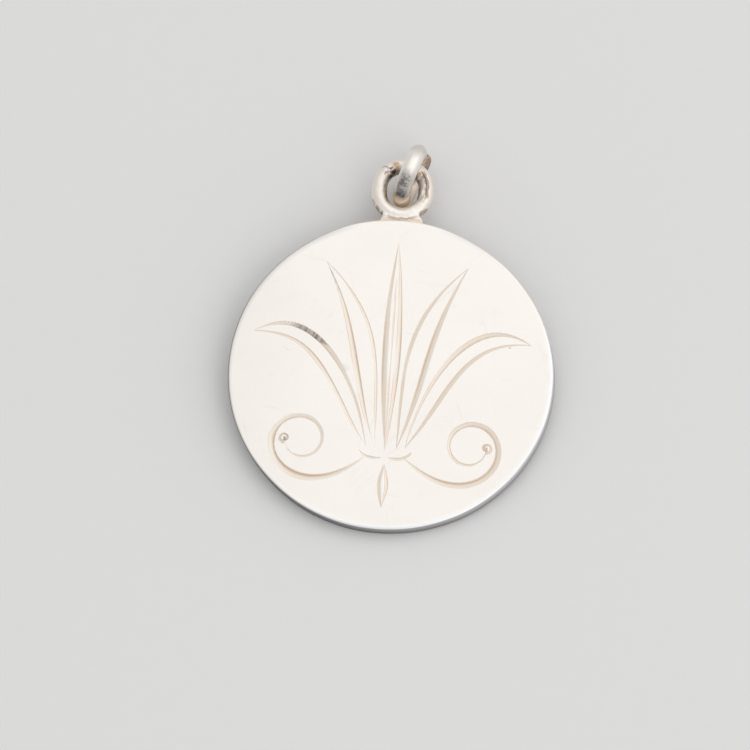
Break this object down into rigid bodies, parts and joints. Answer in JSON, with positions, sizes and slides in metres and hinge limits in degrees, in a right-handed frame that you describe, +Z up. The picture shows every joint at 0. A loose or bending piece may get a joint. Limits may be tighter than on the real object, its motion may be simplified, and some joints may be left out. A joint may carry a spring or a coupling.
{
  "type": "round engraved disc pendant with jump ring",
  "caption": "Small round silver disc pendant with a hand-engraved scroll ornament, a soldered wire loop and a loose round jump ring.",
  "frame": {"origin": "under the middle of the whole pendant's length and width, on the surface that it lies on", "axes": "+Z up from the surface, +Y towards the loop and the jump ring, +X to the right seen from above with the loop away from the viewer"},
  "size_m": [0.022, 0.028, 0.0045],
  "materials": {
    "satin_silver": "finely brushed sterling silver, worn, with tan tarnish in the engraved cuts and round the solder",
    "polished_silver": "polished sterling silver wire with fine scratches and a trace of tarnish"
  },
  "bodies": {
    "root": {"disc": "satin_silver", "jump_ring": "polished_silver"}
  },
  "joints": []
}
